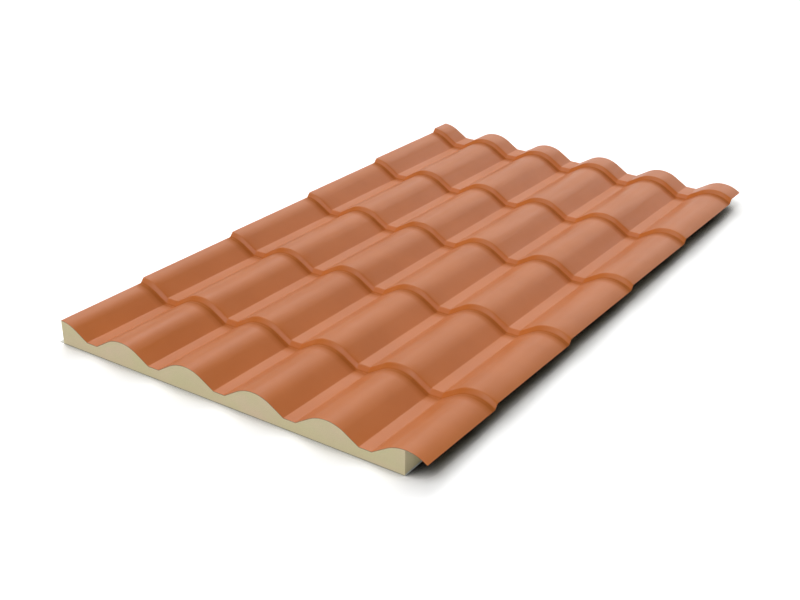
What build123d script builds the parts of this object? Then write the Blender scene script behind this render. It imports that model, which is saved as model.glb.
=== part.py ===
"""Insulated roof panel with a tile-pattern outer sheet, lying flat on its inner sheet.

The weather face is a wave across the panel, carried up the slope in courses: each course
falls gently up the slope and ends at a pressed step, where the next course rises again.
Every section across the panel is the same wave, so the face is that wave swept along the
crest line of the courses without turning. The sheet is formed past both ends and cut to
length, and the foam core meets both sheets face to face.

Millimetres, +X across the panel, +Y up the slope, +Z up.
The origin is at the middle of the panel's bounding box, on the floor.
"""

import math
import os

from build123d import *

# Wave across the panel
wave_count = 5              # whole waves in the cover width
wave_pitch = 200.0          # crest to crest
wave_depth = 36.0           # crest to valley
crest_radius = 90.0         # outside of the rounded crest
valley_flat = 32.4          # flat between two flanks

# Courses up the slope
length = 1750.0             # cut length
course_pitch = 350.0        # step to step
eaves_length = 270.0        # front cut to the foot of the first step
step_height = 11.8          # foot of a step to the sharp corner of its nose
riser_run = 11.0            # slope distance that the riser leans back over
nose_radius = 5.0           # outside of the pressed nose
toe_radius = 3.0            # inside of the pressed foot

# Layers
valley_thickness = 18.0     # underside to the valley face, at the foot of a step
outer_gauge = 0.6           # prepainted outer steel sheet
inner_gauge = 0.5           # prepainted inner steel sheet

# Side joints
lap_reach = 54.0            # outer sheet past the last crest, over the next panel
tongue_reach = 15.0         # inner sheet past the core on the left
upturn_height = 4.0         # inner sheet turned up beside the core on the right

# The flank is the straight line from the foot of the wave that touches the crest arc
cover_width = wave_count * wave_pitch
foot_x = (wave_pitch - valley_flat) / 2
foot_drop = crest_radius - wave_depth
flank_angle = math.atan2(foot_x, foot_drop) - math.acos(crest_radius / math.hypot(foot_x, foot_drop))

# The lap follows the crest arc, and past the arc it follows the flank
lap_angle = min(flank_angle, math.asin(min(1.0, lap_reach / crest_radius)))
lap_on_flank = (lap_reach - crest_radius * math.sin(lap_angle)) / math.cos(flank_angle)

# Centre line of the left crest, the two cuts, and the crest's height at the foot of a step
left_x = tongue_reach - (tongue_reach + cover_width + lap_reach) / 2
front_y = -length / 2
back_y = length / 2
crest_height = valley_thickness + wave_depth


def crest_point(angle: float, depth: float) -> Vector:
    """Gives the point of the crest at `angle` right of its top, `depth` under the face."""
    radius = crest_radius - depth
    return Vector(radius * math.sin(angle), radius * math.cos(angle) - crest_radius)


def lap_edge(depth: float) -> Vector:
    """Gives the lap's cut edge, measured from the last crest and square to the sheet."""
    along_flank = Vector(math.cos(flank_angle), -math.sin(flank_angle))
    return crest_point(lap_angle, depth) + along_flank * lap_on_flank


def wave(depth: float, lapped: bool) -> None:
    """Draws the wave `depth` under the weather face, from the top of the left crest.

    It ends at the lap's edge, or with no lap at the top of the last crest.
    """
    knee = crest_point(flank_angle, depth)
    foot = Vector(foot_x - depth * math.tan(flank_angle / 2), -wave_depth - depth)
    for count in range(wave_count + 1):
        crest = count * wave_pitch
        before = flank_angle
        after = flank_angle
        if count == 0:
            before = 0
        if count == wave_count:
            after = lap_angle if lapped else 0
        CenterArc(
            (crest, -crest_radius),
            crest_radius - depth,
            start_angle=math.degrees(math.pi / 2 - after),
            arc_size=math.degrees(before + after),
        )
        if count > 0:
            Line((crest - foot.X, foot.Y), (crest - knee.X, knee.Y))
        if count < wave_count:
            Polyline(
                (crest + knee.X, knee.Y),
                (crest + foot.X, foot.Y),
                (crest + wave_pitch - foot.X, foot.Y),
            )
    if lapped and lap_on_flank > 0:
        last_crest = Vector(cover_width, 0)
        Line(last_crest + crest_point(lap_angle, depth), last_crest + lap_edge(depth))


def across(point: Vector) -> Plane:
    """Gives the plane across the panel at a point, with local axes +X and +Z."""
    return Plane(origin=point, x_dir=(1, 0, 0), z_dir=(0, -1, 0))


def cut_to_length() -> None:
    """Cuts the part in hand at the panel's front and back ends."""
    split(bisect_by=Plane.XZ.offset(-front_y), keep=Keep.BOTTOM)
    split(bisect_by=Plane.XZ.offset(-back_y), keep=Keep.TOP)


# Crest line of the courses, from a foot at or before the front cut to one at or past the back
courses_before = math.ceil(eaves_length / course_pitch)
courses_after = math.ceil((length - eaves_length) / course_pitch)
crest_line_points = []
bends = []
for count in range(-courses_before, courses_after):
    step_y = front_y + eaves_length + count * course_pitch
    crest_line_points.append(Vector(left_x, step_y, crest_height))
    crest_line_points.append(Vector(left_x, step_y + riser_run, crest_height + step_height))
    bends += [nose_radius, toe_radius]
crest_line_points.append(crest_line_points[-2] + Vector(0, course_pitch, 0))

with BuildLine() as pressed_line:
    FilletPolyline(*crest_line_points, radius=bends[:-1])
edges = pressed_line.edges().sort_by(Axis.Y)

# Each pressed radius is carried as two flat facets, which stay within 0.1 mm of its arc
chord_points = []
for edge in edges:
    chord_points.append(edge @ 0)
    if edge.geom_type == GeomType.CIRCLE:
        chord_points.append(edge @ 0.5)
chord_points.append(edges[-1] @ 1)
with BuildLine() as crest_line:
    Polyline(*chord_points)
start = chord_points[0]

# Outer sheet: the wave between the sheet's two faces, swept along the crest line
with BuildPart() as outer_sheet:
    with BuildSketch(across(start)):
        with BuildLine():
            wave(0, lapped=True)
            wave(outer_gauge, lapped=True)
            Line((0, 0), (0, -outer_gauge))
            Line(Vector(cover_width, 0) + lap_edge(0), Vector(cover_width, 0) + lap_edge(outer_gauge))
        make_face()
    sweep(path=crest_line.line, normal=(0, 1, 0))
    cut_to_length()
outer_sheet.part.label = "outer_sheet"

# Foam core: the wave at the sheet's underside, swept the same way and cut level below
with BuildPart() as foam_core:
    deep = -crest_height - step_height
    with BuildSketch(across(start)):
        with BuildLine():
            wave(outer_gauge, lapped=False)
            Polyline((0, -outer_gauge), (0, deep), (cover_width, deep), (cover_width, -outer_gauge))
        make_face()
    sweep(path=crest_line.line, normal=(0, 1, 0))
    cut_to_length()
    split(bisect_by=Plane.XY.offset(inner_gauge), keep=Keep.TOP)
foam_core.part.label = "foam_core"

# Inner sheet: flat under the core, with a tongue on the left and its right edge turned up
with BuildPart() as inner_sheet:
    with BuildSketch(across(Vector(left_x, back_y, 0))):
        with BuildLine():
            Polyline(
                (-tongue_reach, 0),
                (cover_width + inner_gauge, 0),
                (cover_width + inner_gauge, upturn_height),
                (cover_width, upturn_height),
                (cover_width, inner_gauge),
                (-tongue_reach, inner_gauge),
                close=True,
            )
        make_face()
    extrude(amount=length)
inner_sheet.part.label = "inner_sheet"

os.makedirs("parts", exist_ok=True)
export_step(outer_sheet.part, "parts/outer_sheet.step")
export_step(foam_core.part, "parts/foam_core.step")
export_step(inner_sheet.part, "parts/inner_sheet.step")
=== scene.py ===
"""Dresses an insulated roof panel whose steel weather sheet is pressed into rows of tile courses.

Metres, +X across the panel, +Y up the slope, +Z up. The weather sheet and the foam core are
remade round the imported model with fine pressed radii. The inner sheet keeps its own mesh.
"""

import logging
import math
from collections.abc import Iterable, Iterator
from dataclasses import dataclass
from enum import Enum

import bmesh
import bpy
from mathutils import Matrix, Quaternion, Vector

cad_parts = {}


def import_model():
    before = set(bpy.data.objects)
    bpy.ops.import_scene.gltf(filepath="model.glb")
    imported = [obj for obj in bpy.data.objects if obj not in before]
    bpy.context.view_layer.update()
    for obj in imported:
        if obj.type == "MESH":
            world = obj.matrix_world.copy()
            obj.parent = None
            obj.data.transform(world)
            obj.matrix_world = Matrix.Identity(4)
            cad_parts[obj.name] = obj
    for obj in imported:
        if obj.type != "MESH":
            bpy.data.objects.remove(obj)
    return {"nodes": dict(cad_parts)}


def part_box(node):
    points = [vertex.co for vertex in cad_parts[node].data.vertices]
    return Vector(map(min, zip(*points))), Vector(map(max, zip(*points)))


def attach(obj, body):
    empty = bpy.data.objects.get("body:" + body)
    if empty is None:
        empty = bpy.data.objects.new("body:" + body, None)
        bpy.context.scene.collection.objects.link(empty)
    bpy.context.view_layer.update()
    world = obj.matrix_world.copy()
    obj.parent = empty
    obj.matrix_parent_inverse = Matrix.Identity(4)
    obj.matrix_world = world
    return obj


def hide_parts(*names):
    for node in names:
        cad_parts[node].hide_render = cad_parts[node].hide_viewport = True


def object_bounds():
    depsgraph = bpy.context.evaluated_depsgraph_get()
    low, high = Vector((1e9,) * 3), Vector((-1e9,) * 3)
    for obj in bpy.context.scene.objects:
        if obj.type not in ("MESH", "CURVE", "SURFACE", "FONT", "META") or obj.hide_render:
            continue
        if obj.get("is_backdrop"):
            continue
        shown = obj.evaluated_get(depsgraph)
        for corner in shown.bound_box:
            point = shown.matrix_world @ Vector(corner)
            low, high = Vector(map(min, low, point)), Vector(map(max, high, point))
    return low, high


log = logging.getLogger("roof_panel")

MM = 0.001
SHARP_ANGLE = math.radians(30)
WELD = 0.001 * MM

# Curve of 8-bit sRGB
SRGB_WHITE = 255
SRGB_FOOT = 0.055
SRGB_POWER = 2.4

# Numbers that the meshes carry at their vertices
# How deep a vertex lies in the painted shade of a toe
TOE = "toe"
SKIN = "skin"

# Middle parts of a noise's values, which a finish spreads over its own whole range
WHOLE = (0, 1)
CLOUD_MIDDLE = (0.35, 0.65)
STREAK_MIDDLE = (0.3, 0.7)
PEEL_DEPTH = 0.01 * MM

Colour = tuple[float, float, float]
Span = tuple[float, float]
Vector3 = tuple[float, float, float]


def srgb(red: int, green: int, blue: int) -> Colour:
    """Gives the linear colour of a colour written in 8-bit sRGB."""
    parts = (red / SRGB_WHITE, green / SRGB_WHITE, blue / SRGB_WHITE)
    return tuple(((part + SRGB_FOOT) / (1 + SRGB_FOOT)) ** SRGB_POWER for part in parts)


def grey(level: float) -> Colour:
    """Gives the grey of a linear level."""
    return (level, level, level)


def verts_of(edges: Iterable[bmesh.types.BMEdge]) -> list[bmesh.types.BMVert]:
    """Gives the vertices of a chain of edges, each once."""
    return list({vert for edge in edges for vert in edge.verts})


def grow(bm: bmesh.types.BMesh, edges: list[bmesh.types.BMEdge]) -> list[bmesh.types.BMEdge]:
    """Extrudes a chain of edges in place and gives the new chain."""
    grown = bmesh.ops.extrude_edge_only(bm, edges=edges)["geom"]
    new = {item for item in grown if isinstance(item, bmesh.types.BMVert)}
    return [e for e in grown if isinstance(e, bmesh.types.BMEdge) and new.issuperset(e.verts)]


class SheetFace(Enum):
    """Faces of the weather sheet, in the order of its material slots."""

    WEATHER = 0
    BACK = 1
    CUT = 2


@dataclass(frozen=True)
class Move:
    """One step of the wave along the crest line.

    Attributes:
        step: Where the wave goes from its last place.
        toe: How deep in the painted shade of a toe the step ends, from 0 to 1.
    """

    step: Vector
    toe: float = 0.0


@dataclass(frozen=True)
class Wave:
    """Section of the weather face across the panel.

    Attributes:
        pitch: Crest to crest.
        lap_reach: Sheet past the last crest.
        count: Whole waves in the cover width.
        depth: Crest to valley.
        crest_radius: Outside of the rounded crest.
        valley_flat: Flat between the sharp corners of two flanks.
        fold_radius: Inside of the fold between a flank and the flat.
        crest_parts: Chords in half a crest's arc.
        fold_parts: Chords in a fold's arc.
        flank_parts: Parts of a flank.
        flat_parts: Parts of half a flat, and of the lap's own flank.
    """

    pitch: float
    lap_reach: float
    count: int = 5
    depth: float = 36 * MM
    crest_radius: float = 90 * MM
    valley_flat: float = 32.4 * MM
    fold_radius: float = 5 * MM
    crest_parts: int = 16
    fold_parts: int = 5
    flank_parts: int = 4
    flat_parts: int = 2

    @property
    def flank_angle(self) -> float:
        """Slope of the straight flank that touches the crest's arc."""
        foot = (self.pitch - self.valley_flat) / 2
        drop = self.crest_radius - self.depth
        return math.atan2(foot, drop) - math.acos(self.crest_radius / math.hypot(foot, drop))

    def draw(self, bm: bmesh.types.BMesh, crest: Vector, under: float, lapped: bool) -> None:
        """Draws the whole wave as a chain of edges.

        Args:
            bm: The mesh to draw in, with nothing else in it.
            crest: Top of the first crest, on the weather face.
            under: Depth of the drawn face under the weather face.
            lapped: Whether the wave runs on past the last crest to the lap's edge.
        """
        self._draw_half(bm, crest, under)
        half = bm.verts[:] + bm.edges[:]
        to_middle = Matrix.Translation((-crest.x - self.pitch / 2, 0, 0))
        bmesh.ops.mirror(bm, geom=half, matrix=to_middle, merge_dist=WELD, axis="X")
        one_wave = bm.verts[:] + bm.edges[:]
        for count in range(1, self.count):
            self._copy(bm, one_wave, Vector((count * self.pitch, 0, 0)))
        if lapped:
            self._draw_lap(bm, crest + Vector((self.count * self.pitch, 0, 0)), under)
        bmesh.ops.remove_doubles(bm, verts=bm.verts[:], dist=WELD)

    def _draw_half(self, bm: bmesh.types.BMesh, crest: Vector, under: float) -> None:
        """Draws the wave from the top of a crest to the middle of the flat on its right."""
        angle = self.flank_angle
        inset = self.fold_radius * math.tan(angle / 2)
        fold_x = (self.pitch - self.valley_flat) / 2 + inset
        knee = self._draw_crest(bm, crest, under, angle)
        fold_centre = crest + Vector((fold_x, 0, self.fold_radius - self.depth))
        fold_reach = self.fold_radius + under
        fold_start = fold_centre - Vector((math.sin(angle), 0, math.cos(angle))) * fold_reach
        foot = self._draw_run(bm, knee, fold_start, self.flank_parts)
        level = self._spin(bm, foot, fold_centre, -angle, self.fold_parts)
        middle = Vector((crest.x + self.pitch / 2, crest.y, level.co.z))
        self._draw_run(bm, level, middle, self.flat_parts)

    def _draw_lap(self, bm: bmesh.types.BMesh, crest: Vector, under: float) -> None:
        """Draws the wave past the last crest, as far as the lap reaches."""
        angle = self.flank_angle
        knee = self._draw_crest(bm, crest, under, angle)
        along = Vector((math.cos(angle), 0, -math.sin(angle)))
        flank = (self.lap_reach - self.crest_radius * math.sin(angle)) / along.x
        self._draw_run(bm, knee, knee.co + along * flank, self.flat_parts)

    def _draw_crest(
        self, bm: bmesh.types.BMesh, crest: Vector, under: float, angle: float
    ) -> bmesh.types.BMVert:
        """Draws the crest's arc from its top to the right and gives its end."""
        top = bmesh.ops.create_vert(bm, co=crest - Vector((0, 0, under)))["vert"][0]
        centre = crest - Vector((0, 0, self.crest_radius))
        return self._spin(bm, top, centre, angle, self.crest_parts)

    @staticmethod
    def _spin(
        bm: bmesh.types.BMesh, start: bmesh.types.BMVert, centre: Vector, angle: float, parts: int
    ) -> bmesh.types.BMVert:
        """Draws an arc from a vertex, clockwise as seen from the front, and gives its end."""
        spun = bmesh.ops.spin(
            bm, geom=[start], cent=centre, axis=(0, 1, 0), angle=angle, steps=parts, use_duplicate=False
        )
        return next(item for item in spun["geom_last"] if isinstance(item, bmesh.types.BMVert))

    @staticmethod
    def _draw_run(
        bm: bmesh.types.BMesh, start: bmesh.types.BMVert, end: Vector, parts: int
    ) -> bmesh.types.BMVert:
        """Draws a straight run from a vertex to a place and gives its end."""
        step = (end - start.co) / parts
        for _ in range(parts):
            start = bmesh.ops.extrude_vert_indiv(bm, verts=[start])["verts"][0]
            bmesh.ops.translate(bm, verts=[start], vec=step)
        return start

    @staticmethod
    def _copy(
        bm: bmesh.types.BMesh, items: list[bmesh.types.BMVert | bmesh.types.BMEdge], shift: Vector
    ) -> None:
        """Copies a chain of edges to another place."""
        copied = bmesh.ops.duplicate(bm, geom=items)["geom"]
        verts = [item for item in copied if isinstance(item, bmesh.types.BMVert)]
        bmesh.ops.translate(bm, verts=verts, vec=shift)


@dataclass(frozen=True)
class CrestLine:
    """Crest line of the courses, from one toe to the next and so up the slope.

    Attributes:
        pitch: Step to step.
        eaves: Front cut to the first toe.
        step_height: Toe to the sharp corner of the nose.
        riser_run: Slope distance that the riser leans back over.
        nose_radius: Outside of the pressed nose.
        toe_radius: Inside of the pressed toe.
        lead: Length of the run beside each step that has rows of edges of its own.
        toe_shade: Depth of the toe's painted shade at the rows that lead to it, as far as the toe.
        bend_parts: Chords in the arc of a toe or a nose.
        riser_parts: Parts of the riser.
        run_parts: Parts of the course between its two leads.
    """

    pitch: float = 350 * MM
    eaves: float = 270 * MM
    step_height: float = 11.8 * MM
    riser_run: float = 11 * MM
    nose_radius: float = 5 * MM
    toe_radius: float = 3 * MM
    lead: float = 28 * MM
    toe_shade: tuple[float, ...] = (0.2, 0.38, 0.55, 1.0, 0.75)
    bend_parts: int = 6
    riser_parts: int = 4
    run_parts: int = 8

    @property
    def riser_angle(self) -> float:
        """Slope of the riser."""
        return math.atan2(self.step_height, self.riser_run)

    @property
    def fall_angle(self) -> float:
        """Slope of the course as it goes from the nose to the next toe, which is downwards."""
        return -math.atan2(self.step_height, self.pitch - self.riser_run)

    def course(self) -> Iterator[Move]:
        """Gives the moves from the start of a toe's bend to the start of the next."""
        turn = self.riser_angle - self.fall_angle
        toe_inset = self.toe_radius * math.tan(turn / 2)
        nose_inset = self.nose_radius * math.tan(turn / 2)
        riser = math.hypot(self.step_height, self.riser_run) - toe_inset - nose_inset
        fall = math.hypot(self.step_height, self.pitch - self.riser_run) - toe_inset - nose_inset
        yield from self._bend(self.toe_radius, self.fall_angle, turn, self.toe_shade[-1])
        yield from self._run(riser, self.riser_angle, self.riser_parts)
        yield from self._bend(self.nose_radius, self.riser_angle, -turn, 0)
        yield from self._run(self.lead, self.fall_angle, 1)
        yield from self._run(fall - 2 * self.lead, self.fall_angle, self.run_parts)
        lead_in = self._run(self.lead, self.fall_angle, len(self.toe_shade))
        for move, toe in zip(lead_in, self.toe_shade):
            yield Move(move.step, toe)

    @staticmethod
    def _run(length: float, slope: float, parts: int) -> Iterator[Move]:
        """Gives the moves along a straight run."""
        for _ in range(parts):
            yield Move(Vector((0, math.cos(slope), math.sin(slope))) * (length / parts))

    def _bend(self, radius: float, slope: float, turn: float, toe: float) -> Iterator[Move]:
        """Gives the moves round a bend, as chords of its arc.

        Args:
            radius: Radius of the bend.
            slope: Slope before the bend.
            turn: Angle that the slope turns by, upwards positive.
            toe: Depth of the toe's painted shade in it.

        Yields:
            The moves, each as long as its chord.
        """
        part = turn / self.bend_parts
        chord = 2 * radius * math.sin(abs(part) / 2)
        for count in range(self.bend_parts):
            heading = slope + part * (count + 0.5)
            yield Move(Vector((0, math.cos(heading), math.sin(heading))) * chord, toe)

    def start(self, crest_x: float, front_y: float, toe_z: float) -> Vector:
        """Gives the start of the toe's bend before the front cut.

        Args:
            crest_x: Place of the first crest.
            front_y: The front cut.
            toe_z: Height of the crest at a toe's sharp corner.

        Returns:
            The place on the crest line, on the fall to that toe.
        """
        inset = self.toe_radius * math.tan((self.riser_angle - self.fall_angle) / 2)
        back = Vector((0, math.cos(self.fall_angle), math.sin(self.fall_angle))) * inset
        return Vector((crest_x, front_y + self.eaves - self.pitch, toe_z)) - back


@dataclass(frozen=True)
class Pressing:
    """Weather face of the panel: the wave carried along the crest line and cut to length.

    Attributes:
        wave: Section across the panel.
        crest_line: Line up the slope.
        first_crest: Place of the left crest across the panel.
        front: Front cut.
        back: Back cut.
        toe_height: Height of the crest at the foot of a step.
        painted_shade_level: Share of a toe's painted shade on level metal.
        painted_shade_lean: How much more of the painted shade lies on the flanks that face right.
    """

    wave: Wave
    crest_line: CrestLine
    first_crest: float
    front: float
    back: float
    toe_height: float = 54 * MM
    painted_shade_level: float = 0.88
    painted_shade_lean: float = 0.42

    def press(self, under: float, lapped: bool) -> bmesh.types.BMesh:
        """Makes the face as one open sheet of quads that face upwards.

        Args:
            under: Depth under the weather face.
            lapped: Whether the sheet runs on to the lap's edge.

        Returns:
            A new mesh, whose vertices carry how deep in the painted shade of a toe they are.
        """
        bm = bmesh.new()
        toe = bm.verts.layers.float.new(TOE)
        start = self.crest_line.start(self.first_crest, self.front, self.toe_height)
        self.wave.draw(bm, start, under, lapped)
        edges = bm.edges[:]
        for move in self._moves():
            edges = grow(bm, edges)
            verts = verts_of(edges)
            bmesh.ops.translate(bm, verts=verts, vec=move.step)
            for vert in verts:
                vert[toe] = move.toe
        self._cut_to_length(bm)
        bmesh.ops.recalc_face_normals(bm, faces=bm.faces[:])
        if sum(face.normal.z for face in bm.faces) < 0:
            bmesh.ops.reverse_faces(bm, faces=bm.faces[:])
        bm.normal_update()
        # Painted shade: deeper on the flanks that face right, weaker on those that face left
        for vert in bm.verts:
            vert[toe] *= self.painted_shade_level + self.painted_shade_lean * vert.normal.x
        return bm

    def _moves(self) -> Iterable[Move]:
        """Gives the moves from the toe before the front cut to past the back cut."""
        past_first_toe = self.back - self.front - self.crest_line.eaves
        courses = math.ceil(past_first_toe / self.crest_line.pitch) + 1
        for _ in range(courses):
            yield from self.crest_line.course()

    def _cut_to_length(self, bm: bmesh.types.BMesh) -> None:
        """Cuts the sheet at the front and back ends of the panel."""
        for place, towards in ((self.front, -1), (self.back, 1)):
            bmesh.ops.bisect_plane(
                bm,
                geom=bm.verts[:] + bm.edges[:] + bm.faces[:],
                dist=WELD,
                plane_co=(0, place, 0),
                plane_no=(0, towards, 0),
                clear_outer=True,
            )

    def flush(self, bm: bmesh.types.BMesh, near: float) -> None:
        """Brings the vertices that lie near a cut exactly into it."""
        for place in (self.front, self.back):
            edge = [vert for vert in bm.verts if abs(vert.co.y - place) < near]
            to_cut = Matrix.Translation((0, -place, 0))
            bmesh.ops.scale(bm, verts=edge, vec=(1, 0, 1), space=to_cut)


class Shader:
    """Node tree of one material, with short calls for the nodes that the finishes share."""

    MIX_COLOURS = (6, 7)
    MIX_RESULT = 2

    def __init__(self, name: str) -> None:
        """Starts a material with one Principled surface.

        Args:
            name: Name of the material.
        """
        self.material = bpy.data.materials.new(name)
        self.material.use_nodes = True
        self.tree = self.material.node_tree
        self.surface = self.tree.nodes["Principled BSDF"]
        self.output = self.tree.nodes["Material Output"]
        self.place = self.tree.nodes.new("ShaderNodeTexCoord").outputs["Object"]

    def node(self, kind: str, **settings: object) -> bpy.types.Node:
        """Adds a node.

        Args:
            kind: Type of the node.
            **settings: Properties of the node, by name.

        Returns:
            The new node.
        """
        node = self.tree.nodes.new(kind)
        for name, value in settings.items():
            setattr(node, name, value)
        return node

    def link(self, source: bpy.types.NodeSocket, target: bpy.types.NodeSocket) -> None:
        """Links two sockets."""
        self.tree.links.new(source, target)

    def stretched(self, scale: Vector3) -> bpy.types.NodeSocket:
        """Gives the object's coordinates scaled along each axis."""
        mapping = self.node("ShaderNodeMapping")
        mapping.inputs["Scale"].default_value = scale
        self.link(self.place, mapping.inputs["Vector"])
        return mapping.outputs["Vector"]

    def from_middle(self, axis: str) -> bpy.types.NodeSocket:
        """Gives how far along an axis the surface is from the object's middle."""
        parts = self.node("ShaderNodeSeparateXYZ")
        self.link(self.place, parts.inputs["Vector"])
        far = self.node("ShaderNodeMath", operation="ABSOLUTE")
        self.link(parts.outputs[axis], far.inputs[0])
        return far.outputs[0]

    def noise(
        self, scale: float, detail: float = 2.0, place: bpy.types.NodeSocket | None = None
    ) -> bpy.types.NodeSocket:
        """Adds a noise.

        Args:
            scale: Lumps a metre.
            detail: Octaves of finer lumps.
            place: Coordinates, or the object's own.

        Returns:
            The noise's value.
        """
        noise = self.node("ShaderNodeTexNoise")
        noise.inputs["Scale"].default_value = scale
        noise.inputs["Detail"].default_value = detail
        self.link(place or self.place, noise.inputs["Vector"])
        return noise.outputs["Fac"]

    def rolled(self, streaks: Vector3) -> bpy.types.NodeSocket:
        """Gives a noise of long streaks, as many a metre along each axis."""
        return self.noise(1, 3, self.stretched(streaks))

    def peel(self, grains: float) -> bpy.types.NodeSocket:
        """Gives the normal of a sprayed coat's faint peel, with its grains a metre."""
        return self.bump(self.noise(grains, 1), PEEL_DEPTH)

    def ranged(self, value: bpy.types.NodeSocket, source: Span, target: Span) -> bpy.types.NodeSocket:
        """Maps a value from one range to another, with its ends held."""
        mapped = self.node("ShaderNodeMapRange")
        self.link(value, mapped.inputs["Value"])
        mapped.inputs["From Min"].default_value, mapped.inputs["From Max"].default_value = source
        mapped.inputs["To Min"].default_value, mapped.inputs["To Max"].default_value = target
        return mapped.outputs["Result"]

    def mixed(
        self,
        factor: bpy.types.NodeSocket,
        low: Colour | bpy.types.NodeSocket,
        high: Colour | bpy.types.NodeSocket,
    ) -> bpy.types.NodeSocket:
        """Mixes two colours by a factor.

        Args:
            factor: 0 for the low colour, 1 for the high one.
            low: A colour or a socket that gives one.
            high: A colour or a socket that gives one.

        Returns:
            The mixed colour.
        """
        mix = self.node("ShaderNodeMix", data_type="RGBA")
        self.link(factor, mix.inputs["Factor"])
        for colour, place in zip((low, high), self.MIX_COLOURS):
            if isinstance(colour, bpy.types.NodeSocket):
                self.link(colour, mix.inputs[place])
            else:
                mix.inputs[place].default_value = (*colour, 1)
        return mix.outputs[self.MIX_RESULT]

    def cells(self, scale: float) -> bpy.types.NodeSocket:
        """Gives the distance from the middle of the nearest cell, with `scale` cells a metre."""
        cells = self.node("ShaderNodeTexVoronoi")
        cells.inputs["Scale"].default_value = scale
        self.link(self.place, cells.inputs["Vector"])
        return cells.outputs["Distance"]

    def attribute(self, name: str) -> bpy.types.NodeSocket:
        """Gives a number that the mesh carries at its vertices."""
        return self.node("ShaderNodeAttribute", attribute_name=name).outputs["Fac"]

    def shown(self) -> bpy.types.NodeSocket:
        """Gives 1 where the camera, a gloss or a clear piece sees the surface, and otherwise 0."""
        path = self.node("ShaderNodeLightPath")
        seen = path.outputs["Is Camera Ray"]
        for name in ("Is Glossy Ray", "Is Transmission Ray"):
            either = self.node("ShaderNodeMath", operation="MAXIMUM")
            self.link(seen, either.inputs[0])
            self.link(path.outputs[name], either.inputs[1])
            seen = either.outputs[0]
        return seen

    def bump(
        self,
        height: bpy.types.NodeSocket,
        depth: float,
        strength: float = 1.0,
        over: bpy.types.NodeSocket | None = None,
    ) -> bpy.types.NodeSocket:
        """Adds a bump.

        Args:
            height: Height from 0 to 1.
            depth: Height of 1 in metres.
            strength: Share of the bump that shows.
            over: Normal of a coarser bump under this one.

        Returns:
            The bumped normal.
        """
        bump = self.node("ShaderNodeBump")
        bump.inputs["Distance"].default_value = depth
        bump.inputs["Strength"].default_value = strength
        self.link(height, bump.inputs["Height"])
        if over is not None:
            self.link(over, bump.inputs["Normal"])
        return bump.outputs["Normal"]

    def set(self, **values: float | tuple) -> None:
        """Sets plain values on the surface, by socket name with underscores for spaces."""
        for name, value in values.items():
            self.surface.inputs[name.replace("_", " ")].default_value = value

    def feed(self, name: str, source: bpy.types.NodeSocket) -> None:
        """Links a node to one of the surface's sockets."""
        self.link(source, self.surface.inputs[name])


@dataclass(frozen=True)
class TerracottaCoat:
    """Satin polyester coat of the weather sheet, with painted shade at each toe that makes it browner
    and duller there.

    Attributes:
        base: Colour of the coat.
        light: Lighter colour that it drifts to.
        painted_shade_colour: Colour of the painted shade at a toe.
        painted_shade_share: Share of that colour where the painted shade is full.
        roughness: Range of the satin's roughness.
        toe_roughness: Roughness where the painted shade is full.
        drifts: Clouds of the lighter colour a metre.
        streaks: Streaks of the roughness a metre, along each axis.
        grains: Grains of the coat's peel a metre.
        gloss: Specular level.
        sheen: Weight of the sheen.
        sheen_roughness: Roughness of the sheen.
    """

    base: Colour = srgb(197, 107, 36)
    light: Colour = srgb(204, 113, 43)
    painted_shade_colour: Colour = srgb(168, 86, 0)
    painted_shade_share: float = 0.74
    roughness: Span = (0.36, 0.44)
    toe_roughness: float = 0.9
    drifts: float = 7
    streaks: Vector3 = (60, 4, 60)
    grains: float = 700
    gloss: float = 0.38
    sheen: float = 0.1
    sheen_roughness: float = 0.5

    def material(self) -> bpy.types.Material:
        """Makes the finish."""
        shader = Shader("terracotta_coat")
        drift = shader.ranged(shader.noise(self.drifts, 3), CLOUD_MIDDLE, WHOLE)
        coat = shader.mixed(drift, self.base, self.light)
        # Painted shade: the toe attribute darkens the coat towards a browner colour at and in front of
        # each step
        toe = shader.attribute(TOE)
        shade_paint = shader.ranged(toe, WHOLE, (0, self.painted_shade_share))
        shader.feed("Base Color", shader.mixed(shade_paint, coat, self.painted_shade_colour))
        satin = shader.ranged(shader.rolled(self.streaks), STREAK_MIDDLE, self.roughness)
        shader.feed("Roughness", shader.mixed(toe, satin, grey(self.toe_roughness)))
        shader.feed("Normal", shader.peel(self.grains))
        shader.set(Specular_IOR_Level=self.gloss)
        shader.set(Sheen_Weight=self.sheen, Sheen_Roughness=self.sheen_roughness)
        return shader.material


@dataclass(frozen=True)
class BackCoat:
    """Thin grey-beige coat on the underside of the weather sheet.

    Attributes:
        light: Lighter colour of the coat.
        dark: Darker colour of the coat.
        clouds: Clouds of the two colours a metre.
        grains: Grains of the coat's peel a metre.
        roughness: Roughness.
    """

    light: Colour = srgb(190, 186, 176)
    dark: Colour = srgb(176, 171, 160)
    clouds: float = 30
    grains: float = 900
    roughness: float = 0.55

    def material(self) -> bpy.types.Material:
        """Makes the finish."""
        shader = Shader("back_coat")
        shader.feed("Base Color", shader.mixed(shader.noise(self.clouds, 4), self.dark, self.light))
        shader.feed("Normal", shader.peel(self.grains))
        shader.set(Roughness=self.roughness)
        return shader.material


@dataclass(frozen=True)
class SheetCut:
    """Sawn edge of the weather sheet, steel browned by the coat that the blade dragged over it.

    Attributes:
        steel: Colour of the bare steel.
        coat: Colour of the dragged coat.
        smears: Smears of the coat a metre.
        roughness: Roughness.
        metallic: Share of metal.
    """

    steel: Colour = srgb(104, 82, 56)
    coat: Colour = srgb(122, 74, 40)
    smears: float = 160
    roughness: float = 0.5
    metallic: float = 0.3

    def material(self) -> bpy.types.Material:
        """Makes the finish."""
        shader = Shader("sheet_cut")
        shader.feed("Base Color", shader.mixed(shader.noise(self.smears), self.steel, self.coat))
        shader.set(Roughness=self.roughness, Metallic=self.metallic)
        return shader.material


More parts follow.
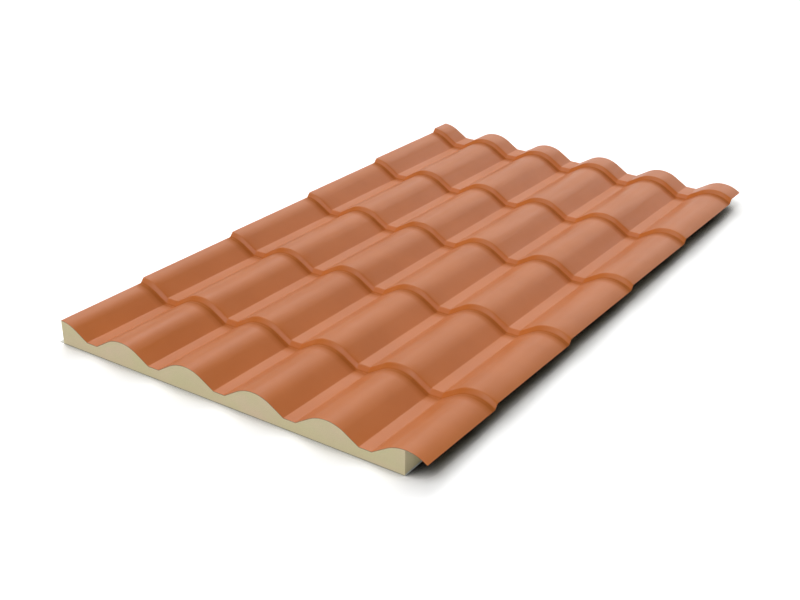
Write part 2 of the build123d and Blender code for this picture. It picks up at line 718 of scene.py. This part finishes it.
@dataclass(frozen=True)
class CutFoam:
    """Sawn rigid foam: fine cells, saw lines and cloudy colour, with a dense skin at the sheets.

    Attributes:
        body: Colour of the foam.
        green: Colour of its greener patches.
        rose: Colour of its redder clouds.
        cell: Colour in the middle of an open cell.
        skin: Colour of the dense skin.
        clouds: Redder clouds a metre.
        patches: Greener patches a metre.
        patch_stretch: How much closer the patches lie along each axis.
        cells: Cells a metre.
        cell_rim: Distance from a cell's middle at which its shade begins to fade and ends.
        cell_share: Share of the cell's colour in its middle.
        cell_depth: Depth of a cell.
        cell_strength: Share of that depth that shows.
        skin_rim: Depth in the skin at which its colour begins and is full.
        skin_share: Share of the skin's colour where it is full.
        saw_lines: Lines of the saw a metre, along each axis.
        saw_depth: Depth of a saw line.
        saw_strength: Share of that depth that shows.
        roughness: Roughness.
        gloss: Specular level.
    """

    body: Colour = srgb(233, 218, 181)
    green: Colour = srgb(229, 218, 176)
    rose: Colour = srgb(237, 216, 185)
    cell: Colour = srgb(204, 190, 150)
    skin: Colour = srgb(120, 96, 60)
    clouds: float = 22
    patches: float = 9
    patch_stretch: Vector3 = (1, 1, 1.6)
    cells: float = 620
    cell_rim: Span = (0.15, 0.6)
    cell_share: float = 0.35
    cell_depth: float = 0.3 * MM
    cell_strength: float = 0.6
    skin_rim: Span = (0.2, 1)
    skin_share: float = 0.8
    saw_lines: Vector3 = (70, 70, 900)
    saw_depth: float = 0.25 * MM
    saw_strength: float = 0.5
    roughness: float = 0.95
    gloss: float = 0.2

    def material(self) -> bpy.types.Material:
        """Makes the finish."""
        shader = Shader("cut_foam")
        cloud = shader.ranged(shader.noise(self.clouds, 3), CLOUD_MIDDLE, WHOLE)
        patched = shader.noise(self.patches, place=shader.stretched(self.patch_stretch))
        patch = shader.ranged(patched, CLOUD_MIDDLE, WHOLE)
        body = shader.mixed(patch, self.green, shader.mixed(cloud, self.rose, self.body))
        cell = shader.cells(self.cells)
        pore = shader.ranged(cell, self.cell_rim, (self.cell_share, 0))
        celled = shader.mixed(pore, body, self.cell)
        skin = shader.ranged(shader.attribute(SKIN), self.skin_rim, (0, self.skin_share))
        shader.feed("Base Color", shader.mixed(skin, celled, self.skin))
        saw = shader.noise(1, place=shader.stretched(self.saw_lines))
        sawn = shader.bump(saw, self.saw_depth, self.saw_strength)
        shader.feed("Normal", shader.bump(cell, self.cell_depth, self.cell_strength, sawn))
        shader.set(Roughness=self.roughness, Specular_IOR_Level=self.gloss)
        return shader.material


@dataclass(frozen=True)
class InnerCoat:
    """Grey-white satin coat of the inner sheet, whose two cut ends are dark.

    Attributes:
        half_length: The sheet's middle to a cut end.
        light: Lighter colour of the coat.
        dark: Darker colour of the coat.
        cut: Colour of the cut ends.
        cut_reach: Distance from a cut end at which that colour begins.
        roughness: Range of the satin's roughness.
        clouds: Clouds of the two colours a metre.
        streaks: Streaks of the roughness a metre, along each axis.
        grains: Grains of the coat's peel a metre.
    """

    half_length: float
    light: Colour = srgb(222, 223, 218)
    dark: Colour = srgb(212, 213, 207)
    cut: Colour = srgb(70, 68, 62)
    cut_reach: float = 0.1 * MM
    roughness: Span = (0.38, 0.46)
    clouds: float = 14
    streaks: Vector3 = (90, 5, 90)
    grains: float = 800

    def material(self) -> bpy.types.Material:
        """Makes the finish."""
        shader = Shader("inner_coat")
        coat = shader.mixed(shader.noise(self.clouds, 4), self.dark, self.light)
        near_cut = (self.half_length - self.cut_reach, self.half_length)
        at_cut = shader.ranged(shader.from_middle("Y"), near_cut, WHOLE)
        shader.feed("Base Color", shader.mixed(at_cut, coat, self.cut))
        satin = shader.ranged(shader.rolled(self.streaks), STREAK_MIDDLE, self.roughness)
        shader.feed("Roughness", satin)
        shader.feed("Normal", shader.peel(self.grains))
        return shader.material


def finished_piece(
    name: str, bm: bmesh.types.BMesh, finishes: Iterable[bpy.types.Material]
) -> bpy.types.Object:
    """Makes an object of a finished mesh, with smooth bends and crisp folds.

    Args:
        name: Name of the piece.
        bm: Its mesh, which is freed.
        finishes: Its materials, in the order of its slots.

    Returns:
        The piece, at the origin.
    """
    for face in bm.faces:
        face.smooth = True
    for edge in bm.edges:
        edge.smooth = edge.calc_face_angle(0) < SHARP_ANGLE
    mesh = bpy.data.meshes.new(name)
    bm.to_mesh(mesh)
    bm.free()
    for finish in finishes:
        mesh.materials.append(finish)
    piece = bpy.data.objects.new(name, mesh)
    bpy.context.scene.collection.objects.link(piece)
    return piece


@dataclass(frozen=True)
class WeatherSheet:
    """Prepainted steel sheet on top, with its lap over the next panel.

    Attributes:
        pressing: Weather face.
        gauge: Thickness of the sheet.
    """

    pressing: Pressing
    gauge: float = 0.6 * MM

    def build(self) -> bpy.types.Object:
        """Makes the sheet with its thickness, its cut edges and its finishes."""
        bm = self.pressing.press(under=0, lapped=True)
        weather = set(bm.faces)
        bmesh.ops.solidify(bm, geom=bm.faces[:], thickness=self.gauge)
        self.pressing.flush(bm, near=self.gauge / 2)
        for face in set(bm.faces) - weather:
            beside = {other for edge in face.edges for other in edge.link_faces}
            side = SheetFace.BACK if beside.isdisjoint(weather) else SheetFace.CUT
            face.material_index = side.value
        return self.dress(bm)

    def dress(self, bm: bmesh.types.BMesh) -> bpy.types.Object:
        """Gives the sheet its coats and its place in the frame."""
        finishes = {
            SheetFace.WEATHER: TerracottaCoat(),
            SheetFace.BACK: BackCoat(),
            SheetFace.CUT: SheetCut(),
        }
        materials = [finishes[face].material() for face in SheetFace]
        sheet = finished_piece("weather_sheet", bm, materials)
        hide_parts("outer_sheet")
        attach(sheet, "root")
        return sheet


@dataclass(frozen=True)
class FoamCore:
    """Rigid foam between the two sheets, sawn flush at its four sides.

    Attributes:
        pressing: Weather face.
        under: Depth of the foam's top under the weather face.
        floor: Height of the foam's underside.
        skin: Thickness of the dense foam next to a sheet.
    """

    pressing: Pressing
    under: float
    floor: float
    skin: float = 1.6 * MM

    def build(self) -> bpy.types.Object:
        """Makes the foam's closed block and gives it its finish."""
        bm = self.pressing.press(self.under, lapped=False)
        skin = bm.verts.layers.float.new(SKIN)
        for vert in bm.verts:
            vert[skin] = 1
        rim = [edge for edge in bm.edges if edge.is_boundary]
        below = grow(bm, rim)
        bmesh.ops.translate(bm, verts=verts_of(below), vec=(0, 0, -self.skin))
        for vert in verts_of(below):
            vert[skin] = 0
        above_foot = grow(bm, below)
        to_floor = Matrix.Translation((0, 0, -self.floor))
        bmesh.ops.scale(bm, verts=verts_of(above_foot), vec=(1, 1, 0), space=to_floor)
        foot = grow(bm, above_foot)
        for vert in verts_of(foot):
            vert[skin] = 1
        bmesh.ops.translate(bm, verts=verts_of(above_foot), vec=(0, 0, self.skin))
        bmesh.ops.edgeloop_fill(bm, edges=foot)
        bmesh.ops.recalc_face_normals(bm, faces=bm.faces[:])
        return self.dress(bm)

    def dress(self, bm: bmesh.types.BMesh) -> bpy.types.Object:
        """Gives the foam its finish and its place in the frame."""
        core = finished_piece("cut_foam_core", bm, [CutFoam().material()])
        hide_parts("foam_core")
        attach(core, "root")
        return core


@dataclass(frozen=True)
class InnerSheet:
    """Flat steel sheet under the foam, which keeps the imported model's mesh.

    Attributes:
        node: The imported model's object.
    """

    node: bpy.types.Object

    def dress(self) -> bpy.types.Object:
        """Gives the sheet its coat."""
        coat = InnerCoat(half_length=self.node.dimensions.y / 2).material()
        for place in self.node.material_slots:
            place.material = coat
        return self.node


@dataclass(frozen=True)
class Camera:
    """Camera at the photograph's viewing angle.

    Attributes:
        target: Where the view's middle meets the floor.
        azimuth: Angle round the panel, from looking up the slope.
        elevation: Angle above the floor.
        distance: From the target.
        roll: Turn about the view's own line.
        lens: Focal length in millimetres.
        sensor: Width of the sensor in millimetres.
    """

    target: Vector
    azimuth: float = math.radians(33.906)
    elevation: float = math.radians(26.989)
    distance: float = 3.2684
    roll: float = math.radians(0.053)
    lens: float = 56.426
    sensor: float = 36.0

    def set_up(self) -> None:
        """Adds the camera and makes it the scene's own."""
        data = bpy.data.cameras.new("camera")
        data.lens = self.lens
        data.sensor_width = self.sensor
        camera = bpy.data.objects.new("camera", data)
        away = Vector(
            (
                math.sin(self.azimuth) * math.cos(self.elevation),
                -math.cos(self.azimuth) * math.cos(self.elevation),
                math.sin(self.elevation),
            )
        )
        camera.location = self.target + away * self.distance
        turn = (-away).to_track_quat("-Z", "Y") @ Quaternion((0, 0, 1), self.roll)
        camera.rotation_mode = "QUATERNION"
        camera.rotation_quaternion = turn
        bpy.context.scene.collection.objects.link(camera)
        bpy.context.scene.camera = camera


@dataclass(frozen=True)
class Sun:
    """Distant soft light.

    Attributes:
        name: What the light does.
        towards: Direction from the panel to the light.
        share: Share of the light that makes a white face square to it render as white.
        spread: Angle that the light spreads over.
    """

    name: str
    towards: Vector
    share: float
    spread: float = math.radians(30)

    def set_up(self) -> None:
        """Adds the light."""
        data = bpy.data.lights.new(self.name, "SUN")
        data.energy = self.share * math.pi
        data.angle = self.spread
        light = bpy.data.objects.new(self.name, data)
        light.rotation_mode = "QUATERNION"
        light.rotation_quaternion = (-self.towards).to_track_quat("-Z", "Y")
        bpy.context.scene.collection.objects.link(light)


@dataclass(frozen=True)
class Studio:
    """Plain white floor inside a low round backdrop, under soft suns.

    Attributes:
        radius: Radius of the floor and the backdrop.
        backdrop_angle: Angle above the floor that the backdrop rises to, as the panel sees it.
        room_light: Light of the backdrop and of the world above it on the panel.
        floor_grey: Grey level of the floor as the panel sees it.
        floor_shown: Grey level of the floor as the camera sees it.
        contact_reach: Distance within which a painted shadow darkens the floor beside the panel.
        contact_open: Openness of the floor at which that painted shadow is full and at which it ends.
        contact_rays: Rays that measure the openness.
        round_parts: Sides of the round floor.
    """

    radius: float = 40.0
    backdrop_angle: float = math.radians(17)
    room_light: float = 0.05
    floor_grey: float = 0.8
    floor_shown: float = 1.3
    contact_reach: float = 80 * MM
    contact_open: Span = (0.24, 0.83)
    contact_rays: int = 12
    round_parts: int = 64

    def set_up(self) -> None:
        """Adds the floor, the backdrop, the world and the lights."""
        self._lay_floor()
        self._hang_backdrop()
        self._light_world()
        for sun in (
            Sun("front_key", Vector((0.12, -0.70, 0.70)), share=0.31),
            Sun("front_left", Vector((-0.50, -0.50, 0.70)), share=0.06, spread=math.radians(40)),
            Sun("top_key", Vector((-0.25, -0.25, 0.94)), share=0.28, spread=math.radians(50)),
            Sun("left_key", Vector((-0.55, 0.42, 0.70)), share=0.235),
            Sun("back_sheen", Vector((-0.38, 0.74, 0.55)), share=0.13),
            Sun("back_low", Vector((0.0, 0.90, 0.42)), share=0.145),
            Sun("right_fill", Vector((0.90, -0.10, 0.30)), share=0.02),
        ):
            sun.set_up()

    def _lay_floor(self) -> None:
        """Adds the floor, which shows white and keeps the panel's shadow, deepened by a painted contact
        shadow.
        """
        bm = bmesh.new()
        bmesh.ops.create_circle(bm, cap_ends=True, radius=self.radius, segments=self.round_parts)
        shader = Shader("floor")
        diffuse = shader.node("ShaderNodeBsdfDiffuse")
        # Painted shadow: the camera sees the floor darkened by how closed in it is near the panel
        openness = shader.node("ShaderNodeAmbientOcclusion", samples=self.contact_rays)
        openness.inputs["Distance"].default_value = self.contact_reach
        painted_shadow = shader.ranged(openness.outputs["AO"], self.contact_open, WHOLE)
        painted_shadow.node.interpolation_type = "SMOOTHSTEP"
        shown = shader.mixed(painted_shadow, grey(0), grey(self.floor_shown))
        floor = shader.mixed(shader.shown(), grey(self.floor_grey), shown)
        shader.link(floor, diffuse.inputs["Color"])
        shader.link(diffuse.outputs["BSDF"], shader.output.inputs["Surface"])
        self._add("floor", bm, shader.material)

    def _hang_backdrop(self) -> None:
        """Adds the backdrop, which shows white and is dim as a light."""
        bm = bmesh.new()
        ring = bmesh.ops.create_circle(bm, radius=self.radius, segments=self.round_parts)["verts"]
        edges = list({edge for vert in ring for edge in vert.link_edges})
        top = verts_of(grow(bm, edges))
        bmesh.ops.translate(bm, verts=top, vec=(0, 0, self.radius * math.tan(self.backdrop_angle)))
        shader = Shader("backdrop")
        glow = shader.node("ShaderNodeEmission")
        strength = shader.ranged(shader.shown(), WHOLE, (self.room_light, 1))
        shader.link(strength, glow.inputs["Strength"])
        shader.link(glow.outputs["Emission"], shader.output.inputs["Surface"])
        self._add("backdrop", bm, shader.material).visible_shadow = False

    @staticmethod
    def _add(name: str, bm: bmesh.types.BMesh, material: bpy.types.Material) -> bpy.types.Object:
        """Adds a piece of the studio, which isn't part of the panel."""
        mesh = bpy.data.meshes.new(name)
        bm.to_mesh(mesh)
        bm.free()
        mesh.materials.append(material)
        piece = bpy.data.objects.new(name, mesh)
        bpy.context.scene.collection.objects.link(piece)
        piece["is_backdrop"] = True
        return piece

    def _light_world(self) -> None:
        """Makes the world a dim even ceiling."""
        world = bpy.data.worlds.new("ceiling")
        world.use_nodes = True
        background = world.node_tree.nodes["Background"]
        background.inputs["Color"].default_value = (1, 1, 1, 1)
        background.inputs["Strength"].default_value = self.room_light
        bpy.context.scene.world = world


def main(frame: dict, cad_box: tuple[Vector, Vector]) -> None:
    """Builds and dresses the panel, then the studio.

    Args:
        frame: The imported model.
        cad_box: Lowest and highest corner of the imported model.
    """
    sheet_low, sheet_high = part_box("outer_sheet")
    core_low, core_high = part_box("foam_core")
    wave = Wave(pitch=(core_high.x - core_low.x) / Wave.count, lap_reach=sheet_high.x - core_high.x)
    pressing = Pressing(
        wave=wave,
        crest_line=CrestLine(),
        first_crest=core_low.x,
        front=sheet_low.y,
        back=sheet_high.y,
    )
    weather = WeatherSheet(pressing)
    core = FoamCore(pressing, under=weather.gauge, floor=core_low.z)
    inner = InnerSheet(frame["nodes"]["inner_sheet"])
    for piece in (weather.build(), core.build(), inner.dress()):
        log.info("%s: %d faces", piece.name, len(piece.data.polygons))
    Studio().set_up()
    Camera(target=Vector((0.02954, -0.22331, 0))).set_up()
    bpy.context.scene.view_settings.view_transform = "Standard"
    boxes = {"cad": cad_box, "visual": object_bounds()}
    {name: [list(corner) for corner in box] for name, box in boxes.items()}


if __name__ == "__main__":
    logging.basicConfig(level=logging.INFO, format="%(name)s: %(message)s")
    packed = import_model()
    main(packed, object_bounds())
